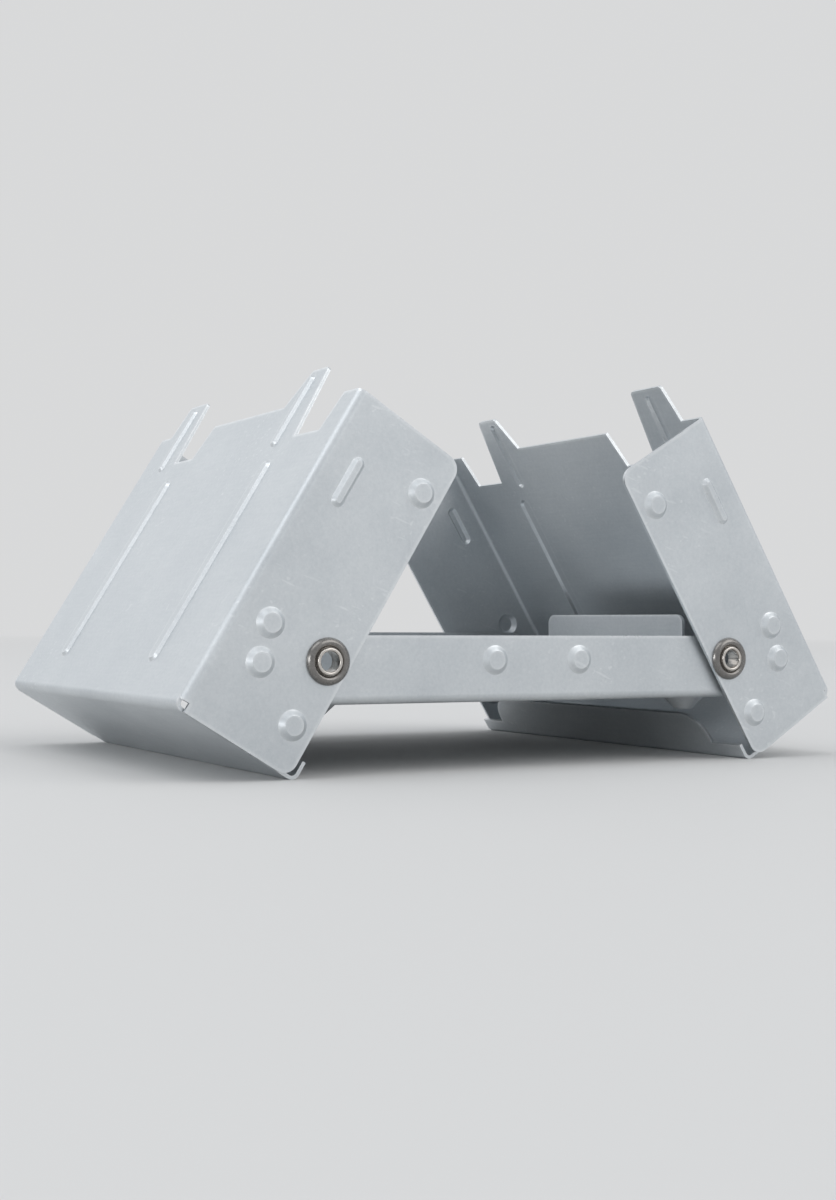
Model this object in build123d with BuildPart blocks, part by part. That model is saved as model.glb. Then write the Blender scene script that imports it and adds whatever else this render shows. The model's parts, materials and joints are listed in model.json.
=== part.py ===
from build123d import *
import os
from math import cos, radians, sin

# Pocket stove of folded sheet steel: a shallow fuel tray and two wings that swing on tubular
# eyelets. The wings fold flat over the tray, or stand open as windscreen, legs and pot rest.
# X runs from wing to wing, Y from front to back, Z up. The origin is on the ground, midway.

# Sheet, in millimetres
sheet = 0.5
bend_radius = 1.2

# Folded size and angles, in degrees from the folded position
closed_length = 98.0
wing_width = 75.2
half_open_angle = 58.5
full_open_angle = 90.0

# Wing section, measured from the outer faces of the plate and of the end wall
rivet_from_end = 15.6
rivet_from_plate = 14.95
flange_depth = 18.15
flange_corner = 2.0
meeting_gap = 0.2

# End wall, its turned-in lip and the tongue in the middle of the lip
lip_drop = 1.3
lip_shelf = 2.95
tongue_reach = 8.0
tongue_width = 60.4
tongue_corner = 4.6
end_wall_gap = 0.25
relief_length = 1.3
relief_depth = 1.3

# Tabs along the free edge, which carry the pot and enter the other wing's slots when folded
tab_rise = 6.1
tab_corner = 0.7
tab_fit = 0.3
outer_tab_margin = 5.2
outer_tab_lean = 1.2
outer_tab_width = 7.4
outer_tab_flare = 1.5
inner_tab_width = 5.2
inner_tab_flare = 2.0
inner_tab_lean = 3.0
inner_slot_lean = 1.6

# Pressed dimples that click the wings into their positions
dimple_base = 4.1
dimple_top = 2.6
dimple_height = 0.75
rail_dimple_height = 0.6
detent_radius = 9.6
lock_dimple_spacing = 14.1

# Pressed ribs of the wings
flange_rib_depth = 5.0
flange_rib_start = 34.2
flange_rib_length = 5.7
flange_rib_width = 1.9
flange_rib_height = 0.55
tab_rib_length = 10.6
tab_rib_width = 1.9
tab_rib_height = 0.4
tab_rib_tip_margin = 2.0
inner_rib_shift = 1.2
plate_bead_offset = 19.6
plate_bead_start = 7.5
plate_bead_length = 30.0
plate_bead_width = 2.8
plate_bead_height = 0.4
rib_taper = 45.0

# Tray
rail_gap = 0.7
rail_above_rivet = 3.4
tray_below_rivet = 5.8
rail_past_rivet = 11.5
rail_corner = 3.0
floor_past_rivet = 6.2
floor_setback = 1.6
ear_gap = 0.7
end_stop_width = 38.6
end_stop_rise = 6.7
end_stop_corner = 1.5
foot_base = 6.8
foot_tip = 2.6
foot_height = 2.0
foot_inboard = 1.8
foot_from_middle = 29.0

# Eyelets and their domed washers
bore_radius = 1.35
barrel_wall = 0.33
running_fit = 0.05
washer_radius = 3.15
washer_edge = 0.16
washer_crown = 0.7
washer_land = 0.32
washer_gap = 0.03
rim_proud = 0.9
rim_flare = 0.14
head_radius = 2.6
head_thickness = 0.35

# Worked out from the dimensions above
half_width = wing_width / 2
lip_depth = flange_depth + lip_drop
free_edge = closed_length / 2 - meeting_gap
rivet_x = closed_length / 2 - rivet_from_end
slot_floor = free_edge - tab_rise
tab_tip = free_edge + tab_rise
end_wall_half = half_width - sheet - end_wall_gap
rail_outer = half_width - sheet - rail_gap
rail_inner = rail_outer - sheet
barrel_radius = bore_radius + barrel_wall
wing_lean = radians(half_open_angle)

# A half-open wing stands on the outer bend of its lip
lip_bend_rise = (bend_radius - rivet_from_end) * sin(wing_lean)
lip_bend_drop = (lip_depth - bend_radius - rivet_from_plate) * cos(wing_lean)
rivet_z = bend_radius + lip_bend_drop - lip_bend_rise

# Outline of the tabs and slots across the wing, from its middle
outer_tab_root = half_width - outer_tab_margin
outer_tab_out = outer_tab_root - outer_tab_lean
outer_tab_in = outer_tab_out - outer_tab_width
outer_tab_heel = outer_tab_in - outer_tab_flare
wide_slot_out = -(outer_tab_out + tab_fit)
wide_slot_mouth = -(outer_tab_root + tab_fit)
wide_slot_in = -(outer_tab_in - tab_fit)
inner_tab_out = wide_slot_in + inner_tab_flare
inner_tab_in = inner_tab_out + inner_tab_width
inner_tab_root = inner_tab_in + inner_tab_lean
narrow_slot_mouth = -(inner_tab_root + tab_fit)
narrow_slot_in = narrow_slot_mouth + inner_slot_lean


def halfway(heel, tip):
    """Place on a tab's side where it crosses the free edge, midway from slot floor to tip."""
    return (heel + tip) / 2


def wing_frame(side):
    """Outer face of a wing's plate: x from end fold to free edge, y across, z outwards."""
    along = Vector(-side * cos(wing_lean), 0, sin(wing_lean))
    out = Vector(side * sin(wing_lean), 0, cos(wing_lean))
    rivet = Vector(side * rivet_x, 0, rivet_z)
    return Plane(rivet - along * rivet_from_end + out * rivet_from_plate, along, out)


def flange_plane(frame, face, station, depth):
    """Plane on a side flange's outer face, centred at a station along it and a depth."""
    centre = frame.from_local_coords((station, face * half_width, -depth))
    return Plane(centre, frame.x_dir, frame.y_dir * face)


def rail_plane(face, station):
    """Plane on the outer face of a tray rail at rivet height."""
    return Plane((station, face * rail_outer, rivet_z), (1, 0, 0), (0, face, 0))


def press_dimple(plane, base, top, height):
    """Raise a round dimple out of the sheet and hollow it from behind."""
    seat = (Align.CENTER, Align.CENTER, Align.MIN)
    with Locations(plane.location):
        Cone(base / 2, top / 2, height, align=seat)
    with Locations(plane.offset(-sheet).location):
        Cone(base / 2, top / 2, height, align=seat, mode=Mode.SUBTRACT)


def press_rib(plane, length, width, height):
    """Raise a straight rib with round ends out of the sheet and groove it from behind."""
    with BuildSketch(plane) as crest:
        SlotOverall(length + width, width)
    extrude(crest.sketch, amount=height, taper=rib_taper)
    with BuildSketch(plane.offset(-sheet)) as groove:
        SlotOverall(length + width, width)
    extrude(groove.sketch, amount=height, taper=rib_taper, mode=Mode.SUBTRACT)


def folded_strip(plane, *corners):
    """Draw a strip of sheet that follows the outer corners of its folds."""
    with BuildSketch(plane) as strip:
        with BuildLine():
            FilletPolyline(*corners, radius=bend_radius)
            offset(amount=sheet, side=Side.LEFT)
        make_face()
    return strip.sketch


def make_wing(side):
    """One wing: plate, two side flanges, end wall with lip and tongue, tabs and slots."""
    frame = wing_frame(side)
    across = Plane(frame.origin, frame.y_dir, frame.x_dir)
    profile = Plane(frame.origin, frame.x_dir, -frame.y_dir)
    lip_face = frame.offset(-lip_depth)
    with BuildPart() as wing:
        # Plate with its two side bends
        channel = folded_strip(
            across.offset(relief_length),
            (half_width, -bend_radius - sheet),
            (half_width, 0),
            (-half_width, 0),
            (-half_width, -bend_radius - sheet),
        )
        extrude(channel, amount=free_edge - relief_length)

        # Side flanges, with rounded free corners and a relief beside the end fold
        for face in (1, -1):
            outer = profile.offset(-face * half_width)
            with BuildSketch(outer) as flange:
                Polygon(
                    (0, -relief_depth),
                    (relief_length, -relief_depth),
                    (relief_length, -bend_radius),
                    (free_edge, -bend_radius),
                    (free_edge, -flange_depth),
                    (0, -flange_depth),
                    align=None,
                )
                low = flange.vertices().group_by(Axis.Y)[0]
                fillet(low, flange_corner)
            extrude(amount=face * sheet)

        # End fold, end wall and the bend of the lip
        end_wall = folded_strip(
            profile.offset(-end_wall_half),
            (relief_length + sheet, 0),
            (0, 0),
            (0, -lip_depth),
            (bend_radius + sheet, -lip_depth),
        )
        extrude(end_wall, amount=2 * end_wall_half)

        # Lip with the tongue that rises from its middle
        with BuildSketch(lip_face) as lip:
            with Locations((lip_shelf, 0)):
                Rectangle(lip_shelf - bend_radius, 2 * end_wall_half, align=(Align.MAX, Align.CENTER))
            with Locations((tongue_reach, 0)):
                Rectangle(tongue_reach - bend_radius, tongue_width, align=(Align.MAX, Align.CENTER))
            fillet(lip.vertices().group_by(Axis.X)[-1], tongue_corner)
        extrude(amount=sheet)

        # Tabs that stand up from the free edge
        with BuildSketch(frame) as tabs:
            Polygon(
                (slot_floor, outer_tab_root),
                (free_edge, outer_tab_root),
                (tab_tip, outer_tab_out),
                (tab_tip, outer_tab_in),
                (slot_floor, outer_tab_heel),
                align=None,
            )
            Polygon(
                (slot_floor, inner_tab_root),
                (free_edge, inner_tab_root),
                (tab_tip, inner_tab_in),
                (tab_tip, inner_tab_out),
                (slot_floor, wide_slot_in),
                align=None,
            )
            fillet(tabs.vertices().group_by(Axis.X)[-1], tab_corner)
        extrude(amount=-sheet)

        # Slots beside the tabs, each a fit for the other wing's tab
        with BuildSketch(frame):
            Polygon(
                (slot_floor, outer_tab_heel),
                (free_edge, halfway(outer_tab_heel, outer_tab_in)),
                (free_edge, narrow_slot_mouth),
                (slot_floor, narrow_slot_in),
                align=None,
            )
            Polygon(
                (slot_floor, wide_slot_in),
                (free_edge, halfway(wide_slot_in, inner_tab_out)),
                (free_edge, wide_slot_mouth),
                (slot_floor, wide_slot_out),
                align=None,
            )
        extrude(amount=-sheet, mode=Mode.SUBTRACT)

        # Ribs that stiffen the tabs, and two plain beads along the plate
        rib_middle = tab_tip - tab_rib_tip_margin - tab_rib_length / 2
        outer_rib_y = (outer_tab_out + outer_tab_in) / 2
        inner_rib_y = (inner_tab_out + inner_tab_in) / 2 + inner_rib_shift
        for rib_y in (outer_rib_y, inner_rib_y):
            spot = Plane(frame.from_local_coords((rib_middle, rib_y, 0)), frame.x_dir, frame.z_dir)
            press_rib(spot, tab_rib_length, tab_rib_width, tab_rib_height)
        bead_middle = plate_bead_start + plate_bead_length / 2
        for bead_y in (plate_bead_offset, -plate_bead_offset):
            spot = Plane(frame.from_local_coords((bead_middle, bead_y, 0)), frame.x_dir, frame.z_dir)
            press_rib(spot, plate_bead_length, plate_bead_width, plate_bead_height)

        # Dimples and rib of each side flange, and the hole for the eyelet
        lock_station = rivet_from_end + rivet_x - lock_dimple_spacing / 2
        rib_station = flange_rib_start + flange_rib_length / 2
        for face in (1, -1):
            spot = flange_plane(frame, face, lock_station, rivet_from_plate)
            press_dimple(spot, dimple_base, dimple_top, dimple_height)
            for turn in (0, half_open_angle, full_open_angle):
                station = rivet_from_end - detent_radius * cos(radians(turn))
                depth = rivet_from_plate - detent_radius * sin(radians(turn))
                spot = flange_plane(frame, face, station, depth)
                press_dimple(spot, dimple_base, dimple_top, dimple_height)
            spot = flange_plane(frame, face, rib_station, flange_rib_depth)
            press_rib(spot, flange_rib_length, flange_rib_width, flange_rib_height)
            spot = flange_plane(frame, face, rivet_from_end, rivet_from_plate)
            with BuildSketch(spot):
                Circle(barrel_radius + running_fit)
            extrude(amount=-sheet, mode=Mode.SUBTRACT)
    return wing.part


def make_tray():
    """Fuel tray: floor on four feet, two side rails that carry the rivets, two end stops."""
    underside = rivet_z - tray_below_rivet
    rail_end = rivet_x + rail_past_rivet
    floor_end = rivet_x + floor_past_rivet
    ear_inner = tongue_width / 2 + ear_gap
    with BuildPart() as tray:
        # Floor with both rails, cut short between the ears that carry the rail ends
        trough = folded_strip(
            Plane((-rail_end, 0, underside), (0, 1, 0), (1, 0, 0)),
            (-rail_outer, rail_above_rivet + tray_below_rivet),
            (-rail_outer, 0),
            (rail_outer, 0),
            (rail_outer, rail_above_rivet + tray_below_rivet),
        )
        extrude(trough, amount=2 * rail_end)
        fillet(tray.edges().filter_by(Axis.Y).group_by(Axis.Z)[-1], rail_corner)
        for side in (1, -1):
            with Locations((side * rail_end, 0, underside)):
                cut_length = rail_end - floor_end + floor_setback
                Box(2 * cut_length, 2 * ear_inner, 2 * sheet, mode=Mode.SUBTRACT)

        # End stops folded up from the floor
        for side in (1, -1):
            front = Plane((0, -side * end_stop_width / 2, underside), (side, 0, 0), (0, -side, 0))
            stop = folded_strip(
                front,
                (floor_end - floor_setback - sheet, 0),
                (floor_end, 0),
                (floor_end, tray_below_rivet + end_stop_rise),
            )
            extrude(stop, amount=-end_stop_width)
        fillet(tray.edges().filter_by(Axis.X).group_by(Axis.Z)[-1], end_stop_corner)

        # Dimples of the rails, the rivet holes and the feet
        for face in (1, -1):
            for side in (1, -1):
                for station in (lock_dimple_spacing / 2, rivet_x + detent_radius):
                    spot = rail_plane(face, side * station)
                    press_dimple(spot, dimple_base, dimple_top, rail_dimple_height)
                with BuildSketch(rail_plane(face, side * rivet_x)):
                    Circle(barrel_radius)
                extrude(amount=-sheet, mode=Mode.SUBTRACT)
                foot_x = side * (rivet_x - foot_inboard)
                foot = Plane((foot_x, face * foot_from_middle, underside), (1, 0, 0), (0, 0, -1))
                press_dimple(foot, foot_base, foot_tip, foot_height)
    return tray.part


def rivet_section(side, face):
    """Plane through a rivet's axis: x is the radius, y runs outwards from the rail's inner face."""
    return Plane((side * rivet_x, face * rail_inner, rivet_z), (1, 0, 0), (0, 0, face))


def make_eyelet(side, face):
    """Tubular eyelet: flat head inside the tray, barrel through rail and flange, rolled rim."""
    rim_seat = half_width - rail_inner + washer_gap + washer_land
    rim_top = half_width - rail_inner + rim_proud
    rim_radius = barrel_radius + rim_flare
    with BuildPart() as eyelet:
        with BuildSketch(rivet_section(side, face)):
            with BuildLine():
                Polyline(
                    (bore_radius, rim_seat),
                    (bore_radius, -head_thickness),
                    (head_radius, -head_thickness),
                    (head_radius, 0),
                    (barrel_radius, 0),
                    (barrel_radius, rim_seat),
                    (rim_radius, rim_seat),
                )
                ThreePointArc(
                    (rim_radius, rim_seat),
                    ((rim_radius + bore_radius) / 2, rim_top),
                    (bore_radius, rim_seat),
                )
            make_face()
        revolve(axis=Axis((side * rivet_x, 0, rivet_z), (0, 1, 0)))
    return eyelet.part


def make_washer(side, face):
    """Domed washer outside the wing's flange, with a flat land that the eyelet's rim grips."""
    seat = half_width - rail_inner + washer_gap
    land_inner = barrel_radius + running_fit
    land_outer = barrel_radius + rim_flare
    with BuildPart() as washer:
        with BuildSketch(rivet_section(side, face)):
            with BuildLine():
                Polyline(
                    (land_outer, seat + washer_land),
                    (land_inner, seat + washer_land),
                    (land_inner, seat),
                    (washer_radius, seat),
                    (washer_radius, seat + washer_edge),
                )
                ThreePointArc(
                    (washer_radius, seat + washer_edge),
                    ((washer_radius + land_outer) / 2, seat + washer_crown),
                    (land_outer, seat + washer_land),
                )
            make_face()
        revolve(axis=Axis((side * rivet_x, 0, rivet_z), (0, 1, 0)))
    return washer.part


def save(part, name):
    """Label a finished piece and write it as its own file."""
    part.label = name
    export_step(part, f"parts/{name}.step")


os.makedirs("parts", exist_ok=True)
save(make_tray(), "base_tray")
for wing_name, side in (("left_wing", -1), ("right_wing", 1)):
    save(make_wing(side), wing_name)
for corner, side, face in (
    ("front_left", -1, -1),
    ("front_right", 1, -1),
    ("back_left", -1, 1),
    ("back_right", 1, 1),
):
    save(make_eyelet(side, face), f"eyelet_{corner}")
    save(make_washer(side, face), f"washer_{corner}")
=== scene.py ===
import json
import math

import bmesh
import bpy
from mathutils import Matrix, Vector

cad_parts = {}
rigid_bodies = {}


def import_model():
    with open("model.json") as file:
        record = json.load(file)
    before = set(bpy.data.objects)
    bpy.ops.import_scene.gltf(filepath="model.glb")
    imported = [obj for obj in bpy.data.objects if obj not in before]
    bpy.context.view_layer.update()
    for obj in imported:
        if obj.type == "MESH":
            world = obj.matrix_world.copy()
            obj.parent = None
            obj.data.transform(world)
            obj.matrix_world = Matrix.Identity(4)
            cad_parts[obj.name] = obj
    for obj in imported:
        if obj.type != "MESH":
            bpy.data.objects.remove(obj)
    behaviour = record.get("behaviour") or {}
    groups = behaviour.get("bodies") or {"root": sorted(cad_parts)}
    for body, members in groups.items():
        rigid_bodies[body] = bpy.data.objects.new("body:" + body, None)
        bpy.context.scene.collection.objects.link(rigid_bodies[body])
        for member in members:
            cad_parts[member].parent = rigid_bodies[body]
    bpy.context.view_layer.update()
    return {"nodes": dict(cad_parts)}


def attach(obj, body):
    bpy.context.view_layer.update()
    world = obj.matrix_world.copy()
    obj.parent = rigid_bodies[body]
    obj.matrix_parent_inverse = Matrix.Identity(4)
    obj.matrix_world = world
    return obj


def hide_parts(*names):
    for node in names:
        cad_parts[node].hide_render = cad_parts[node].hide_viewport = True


MM = 0.001

# Sheet edges: the rounding of dimples, and the shares of it that ribs and cut edges get
PRESSED_ROUND = 0.44 * MM
RIB_SHARE = 0.45
CUT_EDGE_SHARE = 0.15
RIB_EDGE = 1.5 * MM
PRESSED_ANGLE = math.radians(24)
CUT_EDGE_ANGLE = math.radians(75)
SMOOTH_ANGLE = math.radians(32)
FLAT_ANGLE = math.radians(0.4)
MERGE_DISTANCE = 0.002 * MM

# Rivets, in millimetres: place, then radius and distance outward from the rail's inner face
RIVET_X = 33.4
RIVET_Z = 15.202
RAIL_INNER = 35.9
BORE = 1.35
BARREL = 1.68
RIM = 1.82
RIM_SEAT = 2.05
RIM_TOP = 2.6
RIM_ROLL_END = 165
HEAD = 2.6
HEAD_THICK = 0.35
HEAD_OUTER_ROUND = 0.15
HEAD_INNER_ROUND = 0.08
WASHER = 3.15
WASHER_SEAT = 1.73
WASHER_LAND = 2.05
WASHER_CREST = 2.43
WASHER_EDGE = 0.17
WASHER_STEPS = 13
WASHER_FULLNESS = 0.7
TURNED_STEPS = 72
CORNERS = (
    ("front_left", -1, -1),
    ("front_right", 1, -1),
    ("back_left", -1, 1),
    ("back_right", 1, 1),
)

# Zinc plating of the sheets
ZINC_DARK = (0.54, 0.575, 0.6)
ZINC_LIGHT = (0.70, 0.725, 0.74)
# Bright tone of scratches and rubbed edges, also a painted highlight along the folds
ZINC_RUBBED_AND_HIGHLIGHT = (0.86, 0.88, 0.89)
ZINC_METAL = 0.88
ZINC_ROUGH = (0.42, 0.54)
# Reach and share of the edge mask, widened so the folds carry a painted highlight as well as rubbing
ZINC_RUB_AND_HIGHLIGHT_REACH = 1.0 * MM
ZINC_RUB_AND_HIGHLIGHT_SHARE = 0.7
ZINC_RUB_GLOSS = 0.16
ZINC_SCRATCH_SHARE = 0.3

# Nickel plating of the rivets
EYELET_DARK = (0.5, 0.46, 0.42)
EYELET_LIGHT = (0.68, 0.65, 0.61)
EYELET_RUBBED = (0.9, 0.88, 0.85)
EYELET_ROUGH = 0.2
# Washer colours far darker than nickel: a painted dark reflection; the bright rims partly a painted
# highlight
WASHER_DARK_PAINTED_REFLECTION = (0.165, 0.157, 0.15)
WASHER_LIGHT_PAINTED_REFLECTION = (0.29, 0.28, 0.267)
WASHER_RUBBED_AND_HIGHLIGHT = (0.8, 0.79, 0.77)
WASHER_ROUGH = 0.22
NICKEL_ROUGH_SPAN = 0.1
# Reach and share of the rim mask: rubbed wear, and painted highlight on the washers' rims
NICKEL_RUB_AND_HIGHLIGHT_REACH = 0.2 * MM
NICKEL_RUB_AND_HIGHLIGHT_SHARE = 0.75

# Shares of clouds, grain and rolling lines in the sheet's shade
CLOUD_SHARE = 0.42
GRAIN_SHARE = 0.36
LINE_SHARE = 0.22
LINE_HEIGHT = 0.8
LINE_SCALE = 2600.0
ROLLING_STRETCH = (1.0, 0.06, 1.0)

# Wear and painted highlight on edges and folds: how far a rounded normal may turn, and the scales of
# patches and hairlines
RUB_AND_HIGHLIGHT_TURN = (1.0, 0.86)
RUB_AND_HIGHLIGHT_PATCH_SCALE = 700.0
SCRATCH_SCALE = 1500.0
SCRATCH_PATCH_SCALE = 60.0
SCRATCH_RUNS = ((0.35, (0.03, 1.0, 1.0)), (1.9, (1.0, 0.03, 1.0)))
SCRATCH_TILT = 0.4

# Studio, in metres and watts
FLOOR_SIZE = 9.0
FLOOR_COLOUR = (0.64, 0.64, 0.635)
BACKDROP = (0.69, 0.695, 0.7)
FADE_START = 0.35
FADE_END = 2.4
SKY_COLOUR = (0.95, 0.97, 1.0)
SKY_STRENGTH = 0.7
LAMP_AIM = (0, 0, 0.03)
LAMPS = (
    ("key_lamp", (1.5, -1.8, 2.2), 2.8, 31.0, (1.0, 0.99, 0.975)),
    ("top_lamp", (-1.2, 0.1, 2.6), 2.0, 19.0, (0.97, 0.985, 1.0)),
    ("back_lamp", (-0.75, 2.4, 1.5), 2.4, 6.0, (1.0, 0.995, 0.985)),
    ("low_lamp", (-2.6, -0.7, 0.35), 0.9, 13.0, (0.97, 0.985, 1.0)),
)
CAMERA_PLACE = (-127.0 * MM, -228.6 * MM, 20.1 * MM)
CAMERA_AIM = (1.0 * MM, 0.0, 24.0 * MM)
CAMERA_TILT = math.radians(0.3)
CAMERA_LENS = 49.0
SENSOR_WIDTH = 36.0
NEAREST = 0.01
FARTHEST = 20.0


def deselect_all():
    if bpy.context.object and bpy.context.object.mode != "OBJECT":
        bpy.ops.object.mode_set(mode="OBJECT")
    bpy.ops.object.select_all(action="DESELECT")


def select_only(piece):
    deselect_all()
    piece.select_set(True)
    bpy.context.view_layer.objects.active = piece


# Sheets and rivets


def pressed_loop(edge, weights):
    """Weigh the run of pressed edges that one edge belongs to: narrow on ribs, wide on dimples."""
    loop = {edge}
    border = [edge]
    while border:
        for vertex in border.pop().verts:
            for other in vertex.link_edges:
                if other not in loop and other[weights] < 0:
                    loop.add(other)
                    border.append(other)
    is_rib = any(other.calc_length() > RIB_EDGE for other in loop)
    for other in loop:
        other[weights] = RIB_SHARE if is_rib else 1.0


def weigh_edges(piece):
    """Mark dimples for a wide rounding, and ribs and cut edges for narrower ones."""
    mesh = bmesh.new()
    mesh.from_mesh(piece.data)
    weights = mesh.edges.layers.float.new("bevel_weight_edge")
    for edge in mesh.edges:
        turn = edge.calc_face_angle(0.0)
        if turn > CUT_EDGE_ANGLE:
            edge[weights] = CUT_EDGE_SHARE
        elif turn > PRESSED_ANGLE:
            edge[weights] = -1.0
    for edge in mesh.edges:
        if edge[weights] < 0:
            pressed_loop(edge, weights)
    mesh.to_mesh(piece.data)
    mesh.free()


def folded_sheet(node, name):
    """A packed sheet's shape, merged, with rounded cut edges, soft pressings and smooth folds."""
    select_only(frame["nodes"][node])
    bpy.ops.object.duplicate()
    piece = bpy.context.object
    piece.name = name
    piece.data.name = name
    piece.data.materials.clear()
    bpy.ops.object.parent_clear(type="CLEAR_KEEP_TRANSFORM")
    bpy.ops.object.mode_set(mode="EDIT")
    bpy.ops.mesh.select_all(action="SELECT")
    bpy.ops.mesh.customdata_custom_splitnormals_clear()
    bpy.ops.mesh.remove_doubles(threshold=MERGE_DISTANCE)
    bpy.ops.mesh.dissolve_limited(angle_limit=FLAT_ANGLE)
    bpy.ops.object.mode_set(mode="OBJECT")
    weigh_edges(piece)
    rounding = piece.modifiers.new("rounding", "BEVEL")
    rounding.width = PRESSED_ROUND
    rounding.segments = 3
    rounding.limit_method = "WEIGHT"
    rounding.use_clamp_overlap = True
    bpy.ops.object.modifier_apply(modifier=rounding.name)
    bpy.ops.object.shade_smooth_by_angle(angle=SMOOTH_ANGLE)
    flats = piece.modifiers.new("flat_faces", "WEIGHTED_NORMAL")
    flats.mode = "FACE_AREA"
    flats.weight = 100
    flats.keep_sharp = True
    bpy.ops.object.modifier_apply(modifier=flats.name)
    return piece


def lathe_turned(name, centre, outward, profile):
    """A turned piece on an axis along Y. The profile gives radius and distance outward."""
    deselect_all()
    bpy.ops.mesh.primitive_plane_add(size=MM, location=centre)
    piece = bpy.context.object
    piece.name = name
    piece.data.name = name
    bpy.ops.object.transform_apply(location=True, rotation=True, scale=True)
    bpy.ops.object.mode_set(mode="EDIT")
    bpy.ops.mesh.select_all(action="SELECT")
    bpy.ops.mesh.merge(type="CENTER")
    bpy.ops.object.mode_set(mode="OBJECT")
    start = Vector(centre) + Vector((profile[0][0], outward * profile[0][1], 0)) * MM
    piece.data.vertices[0].co = start
    bpy.ops.object.mode_set(mode="EDIT")
    bpy.ops.mesh.select_all(action="SELECT")
    for before, after in zip(profile, profile[1:] + profile[:1]):
        step = ((after[0] - before[0]) * MM, outward * (after[1] - before[1]) * MM, 0)
        bpy.ops.mesh.extrude_vertices_move(TRANSFORM_OT_translate={"value": step})
    bpy.ops.mesh.select_all(action="SELECT")
    bpy.ops.mesh.spin(steps=TURNED_STEPS, angle=math.tau, center=centre, axis=(0, 1, 0))
    bpy.ops.mesh.select_all(action="SELECT")
    bpy.ops.mesh.remove_doubles(threshold=MERGE_DISTANCE)
    bpy.ops.mesh.normals_make_consistent(inside=False)
    bpy.ops.object.mode_set(mode="OBJECT")
    bpy.ops.object.shade_smooth_by_angle(angle=SMOOTH_ANGLE)
    return piece


def arc_points(centre, radius, start, end, steps):
    """Points on an arc of the profile, from one angle in degrees to another."""
    points = []
    for step in range(steps + 1):
        angle = math.radians(start + (end - start) * step / steps)
        points.append((centre[0] + radius * math.cos(angle), centre[1] + radius * math.sin(angle)))
    return points


def turned_eyelet(name, hub, outward):
    """Tubular rivet: rounded head inside the tray, plain barrel and a rolled rim outside."""
    roll = (RIM - BORE) / 2
    roll_centre = ((RIM + BORE) / 2, RIM_TOP - roll)
    outer_centre = (HEAD - HEAD_OUTER_ROUND, -HEAD_THICK + HEAD_OUTER_ROUND)
    inner_centre = (HEAD - HEAD_INNER_ROUND, -HEAD_INNER_ROUND)
    profile = [(BORE, RIM_TOP - roll)]
    profile += [(BORE, 0.1), (BORE + 0.25, -HEAD_THICK + 0.04), (BORE + 0.45, -HEAD_THICK)]
    profile += arc_points(outer_centre, HEAD_OUTER_ROUND, -90, 0, 5)
    profile += arc_points(inner_centre, HEAD_INNER_ROUND, 0, 90, 3)
    profile += [(BARREL, 0.0), (BARREL, RIM_SEAT), (RIM - 0.03, RIM_SEAT), (RIM, RIM_SEAT + 0.05)]
    profile += arc_points(roll_centre, roll, 0, RIM_ROLL_END, 10)
    return lathe_turned(name, hub, outward, profile)


def turned_washer(name, hub, outward):
    """Domed washer: flat land under the rim, full round crest and a thin rolled outer edge."""
    inner = BARREL + 0.05
    dome_start = WASHER - 0.08
    dome_width = dome_start - RIM - 0.03
    dome_height = WASHER_CREST - WASHER_SEAT - WASHER_EDGE
    profile = [(inner, WASHER_LAND), (inner, WASHER_SEAT), (WASHER - 0.05, WASHER_SEAT)]
    profile += [(WASHER, WASHER_SEAT + 0.05), (WASHER - 0.02, WASHER_SEAT + 0.14)]
    for step in range(1, WASHER_STEPS):
        share = step / WASHER_STEPS
        rise = WASHER_SEAT + WASHER_EDGE + dome_height * math.sin(math.pi * share) ** WASHER_FULLNESS
        if share > 0.6:
            rise = max(rise, WASHER_LAND)
        profile.append((dome_start - dome_width * share, rise))
    return lathe_turned(name, hub, outward, profile)


# Shared surface effects


def new_group(name, inputs, outputs):
    """An empty shader group with its sockets, and its two end nodes."""
    group = bpy.data.node_groups.new(name, "ShaderNodeTree")
    for label, kind, value in inputs:
        socket = group.interface.new_socket(label, in_out="INPUT", socket_type=kind)
        if value is not None:
            socket.default_value = value
    for label in outputs:
        group.interface.new_socket(label, in_out="OUTPUT", socket_type="NodeSocketFloat")
    start = group.nodes.new("NodeGroupInput")
    end = group.nodes.new("NodeGroupOutput")
    return group, start, end


def math_node(tree, operation, first, second):
    node = tree.nodes.new("ShaderNodeMath")
    node.operation = operation
    for socket, value in zip(node.inputs, (first, second)):
        if isinstance(value, float):
            socket.default_value = value
        else:
            tree.links.new(value, socket)
    return node.outputs[0]


def noise_node(tree, vector, scale, detail, roughness):
    node = tree.nodes.new("ShaderNodeTexNoise")
    node.inputs["Detail"].default_value = detail
    node.inputs["Roughness"].default_value = roughness
    tree.links.new(vector, node.inputs["Vector"])
    if isinstance(scale, float):
        node.inputs["Scale"].default_value = scale
    else:
        tree.links.new(scale, node.inputs["Scale"])
    return node.outputs["Fac"]


def range_node(tree, value, low, high, to_low=0.0, to_high=1.0):
    node = tree.nodes.new("ShaderNodeMapRange")
    node.inputs["From Min"].default_value = low
    node.inputs["From Max"].default_value = high
    node.inputs["To Min"].default_value = to_low
    node.inputs["To Max"].default_value = to_high
    tree.links.new(value, node.inputs["Value"])
    return node.outputs["Result"]


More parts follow.
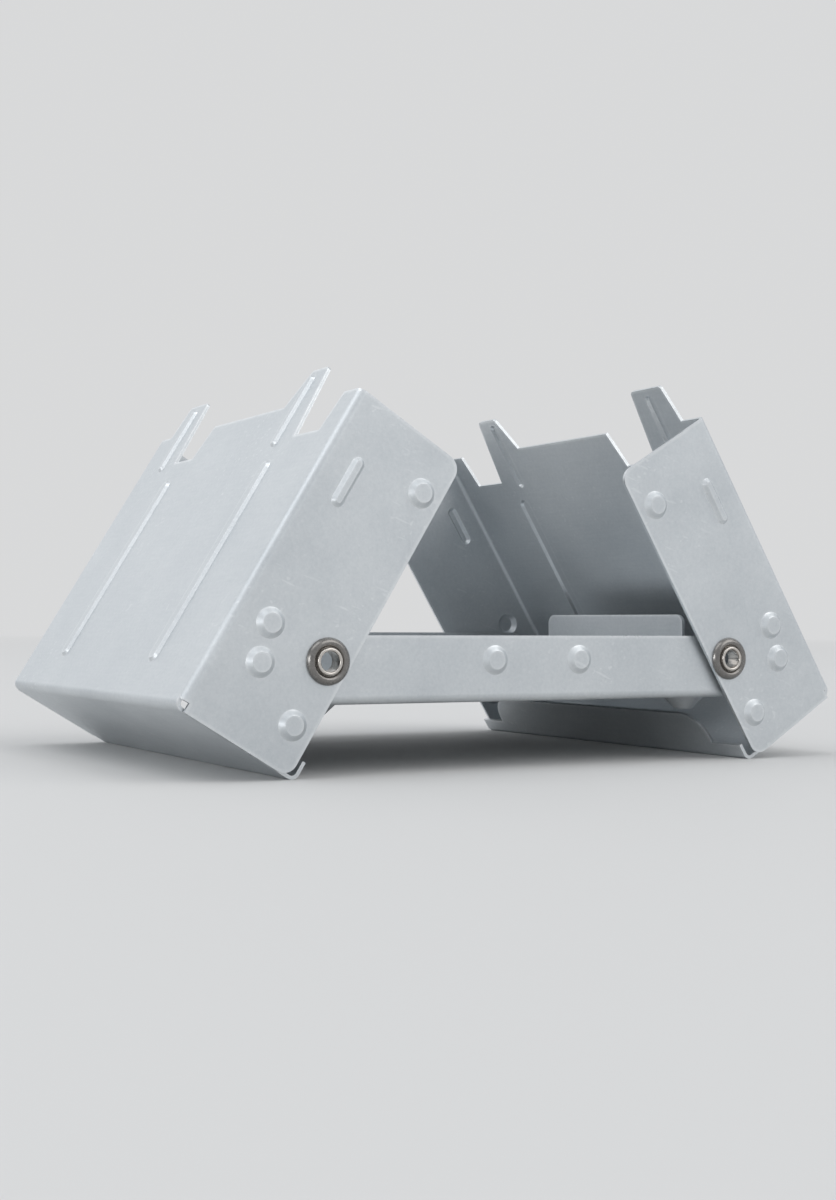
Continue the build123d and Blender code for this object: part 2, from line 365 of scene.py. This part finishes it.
def mill_grain():
    """Rolled and plated sheet: soft clouds, frosty grain and faint lines along the rolling."""
    group, start, end = new_group(
        "mill_grain",
        [
            ("Vector", "NodeSocketVector", None),
            ("Cloud Scale", "NodeSocketFloat", 90.0),
            ("Grain Scale", "NodeSocketFloat", 2400.0),
        ],
        ["Shade", "Gloss", "Height"],
    )
    vector = start.outputs["Vector"]
    clouds = noise_node(group, vector, start.outputs["Cloud Scale"], 4.0, 0.6)
    grain = noise_node(group, vector, start.outputs["Grain Scale"], 3.0, 0.65)
    rolled = group.nodes.new("ShaderNodeMapping")
    rolled.inputs["Scale"].default_value = ROLLING_STRETCH
    group.links.new(vector, rolled.inputs["Vector"])
    lines = noise_node(group, rolled.outputs["Vector"], LINE_SCALE, 2.0, 0.6)
    cloud_part = math_node(group, "MULTIPLY", range_node(group, clouds, 0.3, 0.7), CLOUD_SHARE)
    grain_part = math_node(group, "MULTIPLY", range_node(group, grain, 0.25, 0.75), GRAIN_SHARE)
    line_part = math_node(group, "MULTIPLY", range_node(group, lines, 0.3, 0.7), LINE_SHARE)
    gloss = math_node(group, "ADD", cloud_part, line_part)
    shade = math_node(group, "ADD", gloss, grain_part)
    height = math_node(group, "ADD", grain, math_node(group, "MULTIPLY", lines, LINE_HEIGHT))
    group.links.new(shade, end.inputs["Shade"])
    group.links.new(gloss, end.inputs["Gloss"])
    group.links.new(height, end.inputs["Height"])
    return group


def edge_wear_and_highlight():
    """Mask that is 1 on edges and tight folds, where plating is rubbed bright and a highlight is
    painted along the folds.
    """
    group, start, end = new_group(
        "edge_wear_and_highlight",
        [
            ("Vector", "NodeSocketVector", None),
            ("Reach", "NodeSocketFloat", 0.3 * MM),
        ],
        ["Mask"],
    )
    rounded = group.nodes.new("ShaderNodeBevel")
    rounded.samples = 6
    group.links.new(start.outputs["Reach"], rounded.inputs["Radius"])
    surface = group.nodes.new("ShaderNodeNewGeometry")
    turn = group.nodes.new("ShaderNodeVectorMath")
    turn.operation = "DOT_PRODUCT"
    group.links.new(rounded.outputs["Normal"], turn.inputs[0])
    group.links.new(surface.outputs["Normal"], turn.inputs[1])
    # Brightening where the rounded normal turns: rubbed wear, and painted highlight along folds
    mask = range_node(group, turn.outputs["Value"], *RUB_AND_HIGHLIGHT_TURN)
    patchy = noise_node(group, start.outputs["Vector"], RUB_AND_HIGHLIGHT_PATCH_SCALE, 3.0, 0.6)
    mask = math_node(group, "MULTIPLY", mask, range_node(group, patchy, 0.25, 0.6, 0.45, 1.0))
    group.links.new(mask, end.inputs["Mask"])
    return group


def light_scratches():
    """Sparse hairline scratches in two directions."""
    group, start, end = new_group(
        "light_scratches",
        [("Vector", "NodeSocketVector", None)],
        ["Mask"],
    )
    runs = []
    for turn, stretch in SCRATCH_RUNS:
        turned = group.nodes.new("ShaderNodeMapping")
        turned.vector_type = "TEXTURE"
        turned.inputs["Rotation"].default_value = (0.0, turn, turn * SCRATCH_TILT)
        turned.inputs["Scale"].default_value = [1.0 / share for share in stretch]
        group.links.new(start.outputs["Vector"], turned.inputs["Vector"])
        hair = noise_node(group, turned.outputs["Vector"], SCRATCH_SCALE, 1.0, 0.4)
        runs.append(range_node(group, hair, 0.69, 0.73))
    patches = noise_node(group, start.outputs["Vector"], SCRATCH_PATCH_SCALE, 1.0, 0.5)
    both = math_node(group, "MAXIMUM", *runs)
    both = math_node(group, "MULTIPLY", both, range_node(group, patches, 0.45, 0.65))
    group.links.new(both, end.inputs["Mask"])
    return group


def place_group(tree, group, vector, **values):
    node = tree.nodes.new("ShaderNodeGroup")
    node.node_tree = group
    tree.links.new(vector, node.inputs["Vector"])
    for label, value in values.items():
        node.inputs[label.replace("_", " ")].default_value = value
    return node


def mix_colours(tree, mask, low, high):
    node = tree.nodes.new("ShaderNodeMix")
    node.data_type = "RGBA"
    tree.links.new(mask, node.inputs["Factor"])
    for socket, value in zip((node.inputs[6], node.inputs[7]), (low, high)):
        if isinstance(value, tuple):
            socket.default_value = (*value, 1.0)
        else:
            tree.links.new(value, socket)
    return node.outputs[2]


def new_material(name):
    material = bpy.data.materials.new(name)
    material.use_nodes = True
    tree = material.node_tree
    shader = tree.nodes["Principled BSDF"]
    place = tree.nodes.new("ShaderNodeTexCoord").outputs["Object"]
    return material, tree, shader, place


def grain_bump(tree, shader, grain, strength, distance):
    bump = tree.nodes.new("ShaderNodeBump")
    bump.inputs["Strength"].default_value = strength
    bump.inputs["Distance"].default_value = distance
    tree.links.new(grain.outputs["Height"], bump.inputs["Height"])
    tree.links.new(bump.outputs["Normal"], shader.inputs["Normal"])


def zinc_sheet(name):
    """Zinc-plated steel sheet: frosty and satin, with edges rubbed brighter and a painted highlight
    along the folds.
    """
    material, tree, shader, place = new_material(name)
    grain = place_group(tree, effects["grain"], place, Cloud_Scale=85.0, Grain_Scale=1900.0)
    worn_and_lit = place_group(tree, effects["rub_and_highlight"], place, Reach=ZINC_RUB_AND_HIGHLIGHT_REACH)
    scratched = place_group(tree, effects["scratches"], place)
    colour = mix_colours(tree, grain.outputs["Shade"], ZINC_DARK, ZINC_LIGHT)
    scratch_part = math_node(tree, "MULTIPLY", scratched.outputs["Mask"], ZINC_SCRATCH_SHARE)
    colour = mix_colours(tree, scratch_part, colour, ZINC_RUBBED_AND_HIGHLIGHT)
    # Edges and folds brightened: rubbed wear, and a painted highlight along the folds
    rub_and_highlight_part = math_node(tree, "MULTIPLY", worn_and_lit.outputs["Mask"], ZINC_RUB_AND_HIGHLIGHT_SHARE)
    colour = mix_colours(tree, rub_and_highlight_part, colour, ZINC_RUBBED_AND_HIGHLIGHT)
    tree.links.new(colour, shader.inputs["Base Color"])
    rough = range_node(tree, grain.outputs["Gloss"], 0.1, 0.6, *ZINC_ROUGH)
    smoothing = math_node(tree, "MULTIPLY", worn_and_lit.outputs["Mask"], ZINC_RUB_GLOSS)
    rough = math_node(tree, "SUBTRACT", rough, smoothing)
    tree.links.new(rough, shader.inputs["Roughness"])
    shader.inputs["Metallic"].default_value = ZINC_METAL
    grain_bump(tree, shader, grain, 0.22, 0.02 * MM)
    return material


def rivet_plating(name, dark, light, rubbed, smoothest):
    """Plated rivet metal with fine scuffs and rims brightened by rubbing, and by painted highlight
    on the washers; the washers' darker colours are a painted dark reflection.
    """
    material, tree, shader, place = new_material(name)
    grain = place_group(tree, effects["grain"], place, Cloud_Scale=420.0, Grain_Scale=3200.0)
    worn_and_lit = place_group(tree, effects["rub_and_highlight"], place, Reach=NICKEL_RUB_AND_HIGHLIGHT_REACH)
    colour = mix_colours(tree, grain.outputs["Shade"], dark, light)
    # Rims brightened: rubbed wear, and painted highlight on the washers
    rub_and_highlight_part = math_node(tree, "MULTIPLY", worn_and_lit.outputs["Mask"], NICKEL_RUB_AND_HIGHLIGHT_SHARE)
    colour = mix_colours(tree, rub_and_highlight_part, colour, rubbed)
    tree.links.new(colour, shader.inputs["Base Color"])
    roughest = smoothest + NICKEL_ROUGH_SPAN
    rough = range_node(tree, grain.outputs["Gloss"], 0.1, 0.6, smoothest, roughest)
    tree.links.new(rough, shader.inputs["Roughness"])
    shader.inputs["Metallic"].default_value = 1.0
    grain_bump(tree, shader, grain, 0.1, 0.01 * MM)
    return material


# Studio


def pale_paper():
    """Floor paper that takes the stove's shadow and fades into the backdrop far away."""
    material, tree, shader, place = new_material("pale_floor")
    shader.inputs["Base Color"].default_value = (*FLOOR_COLOUR, 1.0)
    shader.inputs["Roughness"].default_value = 0.7
    shader.inputs["Specular IOR Level"].default_value = 0.2
    distance = tree.nodes.new("ShaderNodeVectorMath")
    distance.operation = "LENGTH"
    tree.links.new(place, distance.inputs[0])
    fade = range_node(tree, distance.outputs["Value"], FADE_START, FADE_END)
    rays = tree.nodes.new("ShaderNodeLightPath")
    seen_fade = math_node(tree, "MULTIPLY", fade, rays.outputs["Is Camera Ray"])
    far = tree.nodes.new("ShaderNodeEmission")
    far.inputs["Color"].default_value = (*BACKDROP, 1.0)
    far.inputs["Strength"].default_value = 1.0
    blend = tree.nodes.new("ShaderNodeMixShader")
    tree.links.new(seen_fade, blend.inputs["Fac"])
    tree.links.new(shader.outputs["BSDF"], blend.inputs[1])
    tree.links.new(far.outputs["Emission"], blend.inputs[2])
    tree.links.new(blend.outputs["Shader"], tree.nodes["Material Output"].inputs["Surface"])
    return material


def plain_world():
    """Even sky light, with the backdrop's tone where the camera sees it."""
    world = bpy.data.worlds.new("studio")
    bpy.context.scene.world = world
    world.use_nodes = True
    tree = world.node_tree
    sky = tree.nodes["Background"]
    sky.inputs["Color"].default_value = (*SKY_COLOUR, 1.0)
    sky.inputs["Strength"].default_value = SKY_STRENGTH
    seen = tree.nodes.new("ShaderNodeBackground")
    seen.inputs["Color"].default_value = (*BACKDROP, 1.0)
    seen.inputs["Strength"].default_value = 1.0
    rays = tree.nodes.new("ShaderNodeLightPath")
    both = tree.nodes.new("ShaderNodeMixShader")
    tree.links.new(rays.outputs["Is Camera Ray"], both.inputs["Fac"])
    tree.links.new(sky.outputs["Background"], both.inputs[1])
    tree.links.new(seen.outputs["Background"], both.inputs[2])
    tree.links.new(both.outputs["Shader"], tree.nodes["World Output"].inputs["Surface"])


def studio():
    """Pale floor, plain world and soft lamps."""
    deselect_all()
    bpy.ops.mesh.primitive_plane_add(size=FLOOR_SIZE, location=(0, 0, 0))
    floor = bpy.context.object
    floor.name = "floor"
    floor.data.materials.append(pale_paper())
    plain_world()
    for name, place, size, power, colour in LAMPS:
        lamp = bpy.data.lights.new(name, "AREA")
        lamp.shape = "SQUARE"
        lamp.size = size
        lamp.energy = power
        lamp.color = colour
        holder = bpy.data.objects.new(name, lamp)
        bpy.context.scene.collection.objects.link(holder)
        holder.location = place
        aim = Vector(LAMP_AIM) - Vector(place)
        holder.rotation_euler = aim.to_track_quat("-Z", "Y").to_euler()


def photo_camera():
    camera = bpy.data.objects.new("camera", bpy.data.cameras.new("camera"))
    bpy.context.scene.collection.objects.link(camera)
    camera.location = CAMERA_PLACE
    aim = Vector(CAMERA_AIM) - Vector(CAMERA_PLACE)
    level = aim.to_track_quat("-Z", "Y").to_matrix()
    camera.rotation_euler = (level @ Matrix.Rotation(CAMERA_TILT, 3, "Z")).to_euler()
    camera.data.lens = CAMERA_LENS
    camera.data.sensor_width = SENSOR_WIDTH
    camera.data.clip_start = NEAREST
    camera.data.clip_end = FARTHEST
    bpy.context.scene.camera = camera


# Assembly

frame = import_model()

effects = {"grain": mill_grain(), "rub_and_highlight": edge_wear_and_highlight(), "scratches": light_scratches()}
sheet_finish = zinc_sheet("zinc_plated_sheet")
eyelet_finish = rivet_plating(
    "nickel_plated_eyelet", EYELET_DARK, EYELET_LIGHT, EYELET_RUBBED, EYELET_ROUGH
)
# The washer finish carries a painted dark reflection in its colours
washer_finish_painted_reflection = rivet_plating(
    "nickel_plated_washer", WASHER_DARK_PAINTED_REFLECTION, WASHER_LIGHT_PAINTED_REFLECTION, WASHER_RUBBED_AND_HIGHLIGHT, WASHER_ROUGH
)

for node, body in (("base_tray", "base"), ("left_wing", "left_wing"), ("right_wing", "right_wing")):
    sheet = folded_sheet(node, node + "_folded")
    sheet.data.materials.append(sheet_finish)
    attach(sheet, body)
    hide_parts(node)

for corner, across, outward in CORNERS:
    hub = (across * RIVET_X * MM, outward * RAIL_INNER * MM, RIVET_Z * MM)
    for part, make, finish, slot in (
        ("eyelet", turned_eyelet, eyelet_finish, "nickel_plated_eyelet"),
        ("washer", turned_washer, washer_finish_painted_reflection, "nickel_plated_washer"),
    ):
        node = part + "_" + corner
        piece = make(node + "_metal", hub, outward)
        piece.data.materials.append(finish)
        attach(piece, "base")
        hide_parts(node)

studio()
photo_camera()
bpy.context.scene.view_settings.view_transform = "Standard"
deselect_all()
